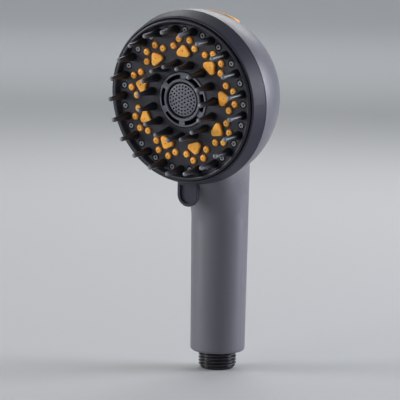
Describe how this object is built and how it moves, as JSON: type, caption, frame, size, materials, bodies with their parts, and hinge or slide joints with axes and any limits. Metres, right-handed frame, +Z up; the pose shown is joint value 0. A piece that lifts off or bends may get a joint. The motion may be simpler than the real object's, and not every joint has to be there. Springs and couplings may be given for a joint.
{
  "type": "handheld shower head",
  "caption": "Handheld shower head with a lever-turned spray face, soft paw-shaped nozzles, long massage bristles, a perforated centre and a jet strip on top.",
  "frame": {"origin": "centre of the free end of the hose thread at the handle's bottom", "axes": "+Z up the handle's axis from the hose thread to the head, -Y the way the spray face looks, +X to the right seen from behind the thread looking at the face's back"},
  "size_m": [0.0952, 0.0746, 0.2004],
  "materials": {
    "shell_grey": "satin slate grey with a soft-touch sheen",
    "ring_dark": "satin dark graphite",
    "plate_dark": "fine-grained near-black",
    "silicone_orange": "soft silicone, slightly translucent",
    "silicone_grey": "soft dark grey silicone",
    "bristle_grey": "satin blue-grey elastomer, darker at the root",
    "centre_grey": "satin graphite",
    "thread_black": "black moulded thread",
    "inner_white": "natural moulded acetal",
    "seal_black": "black seal rubber",
    "steel": "stainless"
  },
  "bodies": {
    "housing": {"rear_housing": "shell_grey", "inlet_connector": "thread_black", "connector_o_ring": "seal_black", "inlet_filter": "steel", "flow_restrictor": "inner_white", "water_tube": "inner_white", "tube_o_rings": "seal_black", "water_chamber": "inner_white", "chamber_screws": "steel", "port_seal": "seal_black", "port_spring": "steel", "detent_spring": "steel", "jet_nozzle": "silicone_orange", "jet_duct": "inner_white", "pivot_screw": "steel", "pivot_washer": "steel", "hub_o_ring": "seal_black"},
    "spray_face": {"face_plate": "plate_dark", "mode_ring": "ring_dark", "paw_nozzles": "silicone_orange", "ring_nozzles": "silicone_grey", "outer_bristles": "bristle_grey", "inner_bristles": "bristle_grey", "centre_ring": "centre_grey", "centre_disc": "centre_grey", "centre_clip_ring": "inner_white", "chamber_gasket": "seal_black", "diverter_disc": "inner_white", "face_o_ring": "seal_black", "face_screws": "steel"},
    "detent": {"detent_ball": "steel"}
  },
  "joints": [
    {"name": "spray_face_turn", "type": "hinge", "parent": "housing", "child": "spray_face", "pos_m": [0, -0.03922, 0.15195], "axis": [0, -0.9952, -0.0983], "range_deg": [-40, 40]},
    {"name": "detent_ball_slide", "type": "slide", "parent": "housing", "child": "detent", "axis": [0, -0.9952, -0.0983], "range_m": [0, 0.0008], "stiffness_N_per_m": 400, "springref_m": 0.0008}
  ]
}
